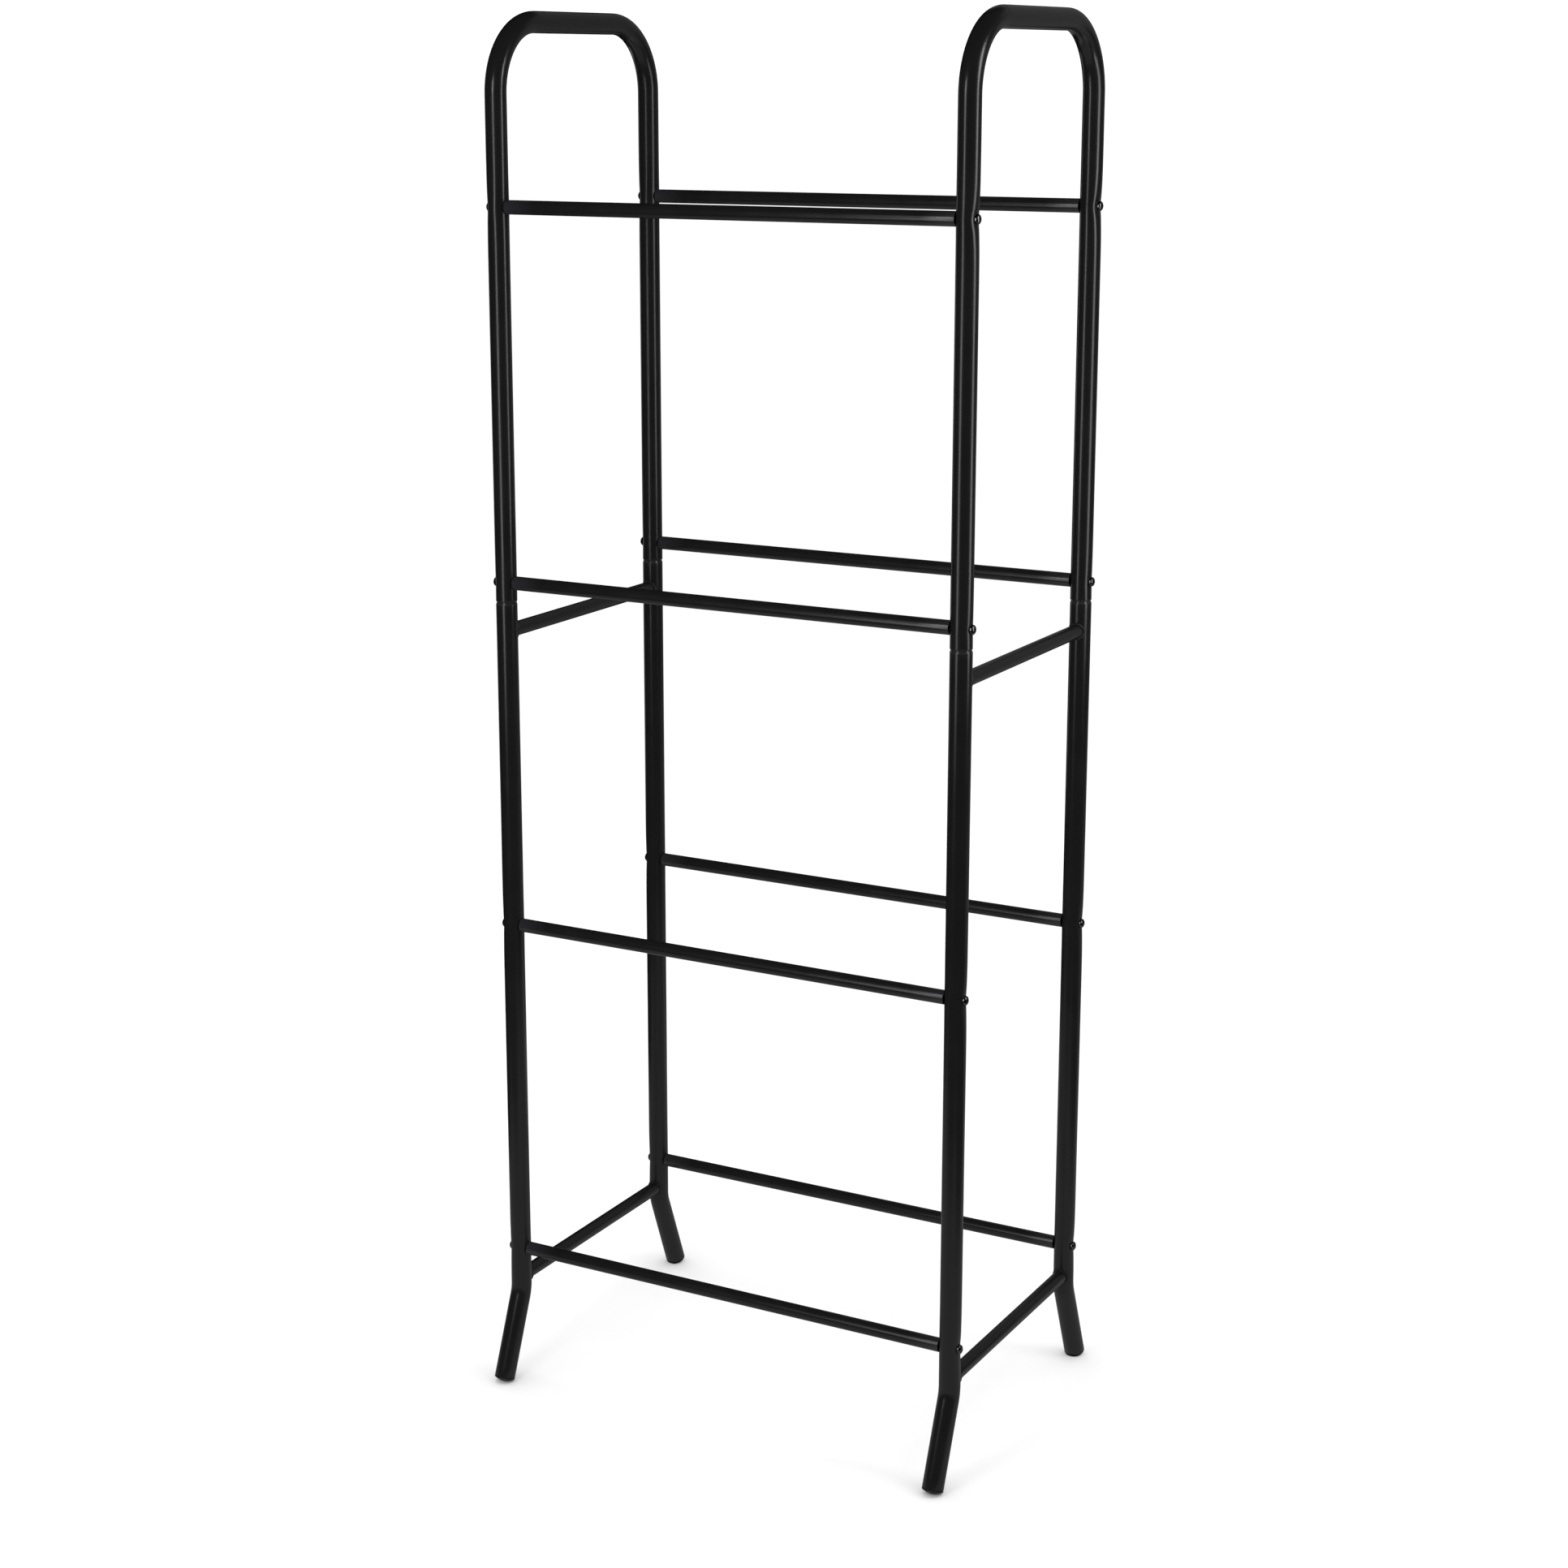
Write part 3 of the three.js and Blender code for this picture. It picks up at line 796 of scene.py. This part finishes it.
# Standing and sliding on the floor has burnished the sole in patches
scuffs = add(tree, "ShaderNodeTexNoise", {"Vector": place, "Scale": 1 / (6 * mm), "Detail": 3.0})
dullness = add(
    tree,
    "ShaderNodeMapRange",
    {"Value": scuffs.outputs["Fac"], "From Min": 0.35, "From Max": 0.65, "To Min": 0.42, "To Max": 0.58},
)
tree.links.new(dullness.outputs[0], plastic.inputs["Roughness"])
plastic_shade = add(
    tree,
    "ShaderNodeMix",
    {"Factor": scuffs.outputs["Fac"], "A": linear("#0e0e0f"), "B": linear("#131314")},
    data_type="RGBA",
)
tree.links.new(plastic_shade.outputs["Result"], plastic.inputs["Base Color"])

# Heights are along the foot's axis from the dome's ball centre: the sole is at the lowest
plug_corners = [(0, -dome_radius, 0)]
dome_angle = math.asin(post_radius / dome_radius)
for step in range(1, dome_steps):
    angle = dome_angle * step / dome_steps
    plug_corners.append((dome_radius * math.sin(angle), -dome_radius * math.cos(angle), 0))
rim_low = -dome_radius + dome_height
rim_top = rim_low + plug_rim
plug_corners += [
    (post_radius, rim_low, 0.4 * mm),
    (post_radius, rim_top, 0.2 * mm),
    (stub_radius, rim_top, 0.1 * mm),
]
for rib in range(4):
    rib_low = rim_top + first_rib + rib * rib_pitch
    plug_corners += [
        (stub_radius, rib_low, 0),
        (stub_radius + rib_height, rib_low + 0.3 * mm, 0),
        (stub_radius + rib_height, rib_low + 0.9 * mm, 0),
        (stub_radius, rib_low + 1.8 * mm, 0),
    ]
plug_top = rim_top + plug_stub
plug_corners += [
    (stub_radius, plug_top, 0.6 * mm),
    (stub_radius - 2 * mm, plug_top, 0.2 * mm),
    (stub_radius - 2.3 * mm, rim_top + plug_floor, 0.4 * mm),
    (0, rim_top + plug_floor, 0),
]
for side, outward in (("left", -1), ("right", 1)):
    for face, rear in (("front", -1), ("rear", 1)):
        name = f"{side}_{face}_foot_plug"
        form = turned(softened(plug_corners, False), post_sides, False)
        form.transform(Matrix.Rotation(rear * foot_angle, 4, "X"))
        form.transform(Matrix.Translation((outward * post_x, rear * (post_y + ball_out), ball_height)))
        for corner in form.vertices:
            corner.co.z = max(corner.co.z, 0)
        form.materials.append(moulded)
        form.shade_smooth()
        piece = bench_work(name + "_moulded", form)
        fitted(piece, "plug_plastic", name)

# ---------------------------------------------------------------------------------------------
# Inserts: turned steel bushes with a knurled outside and a tapped bore, zinc plated black and
# pressed into the rails' ends. Only a dark sliver shows between a rail's square end and the post.
copier, given = new_tree(
    "copies_on_places",
    {
        "Piece": "Geometry",
        "Places": "Object",
        "Largest Spin": "Float",
        "Seed": "Int",
        "Material": "Material",
    },
)
places = add(copier, "GeometryNodeObjectInfo", {"Object": given.outputs["Places"]})
spin_top = add(copier, "ShaderNodeCombineXYZ", {"Z": given.outputs["Largest Spin"]})
spin = add(
    copier,
    "FunctionNodeRandomValue",
    {"Min": (0.0, 0.0, 0.0), "Max": spin_top.outputs[0], "Seed": given.outputs["Seed"]},
    data_type="FLOAT_VECTOR",
)
facing = add(copier, "GeometryNodeInputNamedAttribute", {"Name": "facing"}, data_type="FLOAT_VECTOR")
turn = add(
    copier,
    "FunctionNodeAlignRotationToVector",
    {"Rotation": spin.outputs[0], "Vector": facing.outputs[0]},
    axis="Z",
)
copies = add(
    copier,
    "GeometryNodeInstanceOnPoints",
    {
        "Points": places.outputs["Geometry"],
        "Instance": given.outputs["Piece"],
        "Rotation": turn.outputs[0],
    },
)
close_tree(copier, copies.outputs[0], given)

black_zinc = bpy.data.materials.new("black_zinc_plate")
black_zinc.use_nodes = True
tree = black_zinc.node_tree
plate = tree.nodes["Principled BSDF"]
plate.inputs["Metallic"].default_value = 1.0
place = add(tree, "ShaderNodeTexCoord").outputs["Object"]
# The plating takes the fine tool marks of the part under it, and is uneven in tone
marks = add(tree, "ShaderNodeTexNoise", {"Vector": place, "Scale": 1 / (0.5 * mm), "Detail": 2.0})
marks_bump = add(tree, "ShaderNodeBump", {"Height": marks.outputs["Fac"], "Distance": 0.02 * mm})
tree.links.new(marks_bump.outputs[0], plate.inputs["Normal"])
cloud = add(tree, "ShaderNodeTexNoise", {"Vector": place, "Scale": 1 / (3 * mm), "Detail": 3.0})
plate_shade = add(
    tree,
    "ShaderNodeMix",
    {"Factor": cloud.outputs["Fac"], "A": linear("#5c5c60"), "B": linear("#7c7c80")},
    data_type="RGBA",
)
tree.links.new(plate_shade.outputs["Result"], plate.inputs["Base Color"])
plate_gloss = add(
    tree,
    "ShaderNodeMapRange",
    {"Value": cloud.outputs["Fac"], "From Min": 0.35, "From Max": 0.65, "To Min": 0.18, "To Max": 0.3},
)
tree.links.new(plate_gloss.outputs[0], plate.inputs["Roughness"])

whole_turn = 6.28
insert_length = 16 * mm
insert_radius = 6.95 * mm
insert_bore = 3.05 * mm
bore_chamfer = 0.8 * mm
knurl_teeth = 36
knurl_depth = 0.25 * mm
insert_corners = [
    (insert_radius, -insert_length, 0.4 * mm),
    (insert_radius, 0, 0.3 * mm),
    (insert_bore + bore_chamfer, 0, 0),
    (insert_bore, -bore_chamfer, 0),
    (insert_bore, -insert_length + bore_chamfer, 0),
    (insert_bore + bore_chamfer, -insert_length, 0),
]
bush = turned(softened(insert_corners, True), 2 * knurl_teeth, True)
for corner in bush.vertices:
    radius = math.hypot(corner.co.x, corner.co.y)
    groove = round(math.atan2(corner.co.y, corner.co.x) / (math.pi / knurl_teeth)) % 2
    if radius > insert_radius - 0.45 * mm and groove:
        corner.co.x *= 1 - knurl_depth / radius
        corner.co.y *= 1 - knurl_depth / radius


def end_places(kind, set_back):
    """Points at the rails' ends for one kind of piece, set back from its outer end, and its nodes."""
    spots, facings, covered = [], [], []
    for side, outward in (("left", -1), ("right", 1)):
        for face in ("front", "rear"):
            for level in (1, 2, 3, 4):
                covered.append(f"{side}_{face}_{kind}_{level}")
                low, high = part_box(covered[-1])
                outer = high.x if outward > 0 else low.x
                spots.append((outer - outward * set_back, (low.y + high.y) / 2, (low.z + high.z) / 2))
                facings.append((outward, 0, 0))
    return point_set(kind + "_places", spots, facings), covered


bush_places, covered = end_places("insert", 0)
piece = bench_work(
    "rail_inserts",
    bush,
    (copier, {"Places": bush_places, "Largest Spin": whole_turn, "Seed": 11, "Material": black_zinc}),
)
fitted(piece, "insert_steel", *covered)

# ---------------------------------------------------------------------------------------------
# Screws: cold-headed M6 machine screws, pan head with a cross recess, rolled thread, plated
# black zinc. Each was driven until it stopped, so the recesses stand at chance angles.
quarter_turn = 1.57
head_radius = 5.5 * mm
head_edge = 1.2 * mm
under_head = 0.25 * mm  # the head bears on the crushed wall
shank_radius = 3 * mm
shank_length = 41.6 * mm
thread_start = 26 * mm
thread_pitch = 1 * mm
thread_depth = 0.55 * mm
thread_fade = 2 * mm  # over which the thread runs out
rings_in_a_turn = 7
crown = 0.04 * mm  # how far the head's middle rises over its top's rim
head_steps = 12
head_flat = 0.22  # the top's flat middle, as a share of the head's radius
recess_depth = 2.5 * mm

screw_corners = [
    (0, screw_head_height, 0),
    (1.2 * mm, screw_head_height - crown, 0),
]
for step in range(1, head_steps + 1):
    angle = math.pi / 2 * (1 - step / head_steps)
    out = head_radius * (head_flat + (1 - head_flat) * math.cos(angle))
    up = head_edge + (screw_head_height - crown - head_edge) * math.sin(angle) ** 1.1
    screw_corners.append((out, up, 0))
screw_corners += [
    (head_radius, 0.1 * mm, 0),
    (head_radius - 0.3 * mm, -under_head, 0),
    (shank_radius + 0.2 * mm, -under_head, 0),
    (shank_radius, -under_head - 0.4 * mm, 0),
]
thread_rings = int((shank_length - thread_start) / (thread_pitch / rings_in_a_turn))
for step in range(thread_rings):
    screw_corners.append((shank_radius, -thread_start - step * thread_pitch / rings_in_a_turn, 0))
screw_corners += [(shank_radius - 0.7 * mm, -shank_length, 0), (0, -shank_length, 0)]
bolt = turned([corner[:2] for corner in screw_corners[::-1]], 40, False)
for corner in bolt.vertices:
    radius = math.hypot(corner.co.x, corner.co.y)
    if corner.co.z < -thread_start and radius > shank_radius - 0.1 * mm:
        turns = corner.co.z / thread_pitch - math.atan2(corner.co.y, corner.co.x) / (2 * math.pi)
        flank = abs(2 * (turns % 1) - 1)
        fade = min(1, (-thread_start - corner.co.z) / thread_fade)
        corner.co.x *= 1 - thread_depth * flank * fade / radius
        corner.co.y *= 1 - thread_depth * flank * fade / radius

# The cross recess: four tapered arms, struck in by the heading punch
recess_rings = []
for half_length, half_width, height in (
    (3.1 * mm, 0.62 * mm, screw_head_height + 0.6 * mm),
    (1.15 * mm, 0.45 * mm, screw_head_height - recess_depth),
):
    # One arm's three corners, turned to the four sides
    arm = [(half_length, -half_width), (half_length, half_width), (half_width, half_width)]
    cross = []
    for _ in range(4):
        cross += arm
        arm = [(-y, x) for x, y in arm]
    recess_rings.append([(x, y, height) for x, y in cross])
recess = bpy.data.meshes.new("recess")
recess.from_pydata(
    recess_rings[1] + recess_rings[0],
    [],
    [
        list(range(12))[::-1],
        list(range(12, 24)),
        *[[i, (i + 1) % 12, 12 + (i + 1) % 12, 12 + i] for i in range(12)],
    ],
)
recess_form = put("recess_form", recess)
guides.append(recess_form)

punch, given = new_tree("heading_punch", {"Blank": "Geometry", "Recess": "Object", "Material": "Material"})
struck = add(punch, "GeometryNodeObjectInfo", {"Object": given.outputs["Recess"]})
headed = add(
    punch,
    "GeometryNodeMeshBoolean",
    {"Mesh 1": given.outputs["Blank"], "Mesh 2": struck.outputs["Geometry"]},
    operation="DIFFERENCE",
    solver="MANIFOLD",
)
close_tree(punch, headed.outputs["Mesh"], given)

bolt_places, covered = end_places("screw", screw_head_height)
piece = bench_work(
    "rail_screws",
    bolt,
    (punch, {"Recess": recess_form, "Material": black_zinc}),
    (copier, {"Places": bolt_places, "Largest Spin": quarter_turn, "Seed": 4, "Material": black_zinc}),
)
fitted(piece, "screw_steel", *covered)

for guide in guides:
    bpy.data.objects.remove(guide)
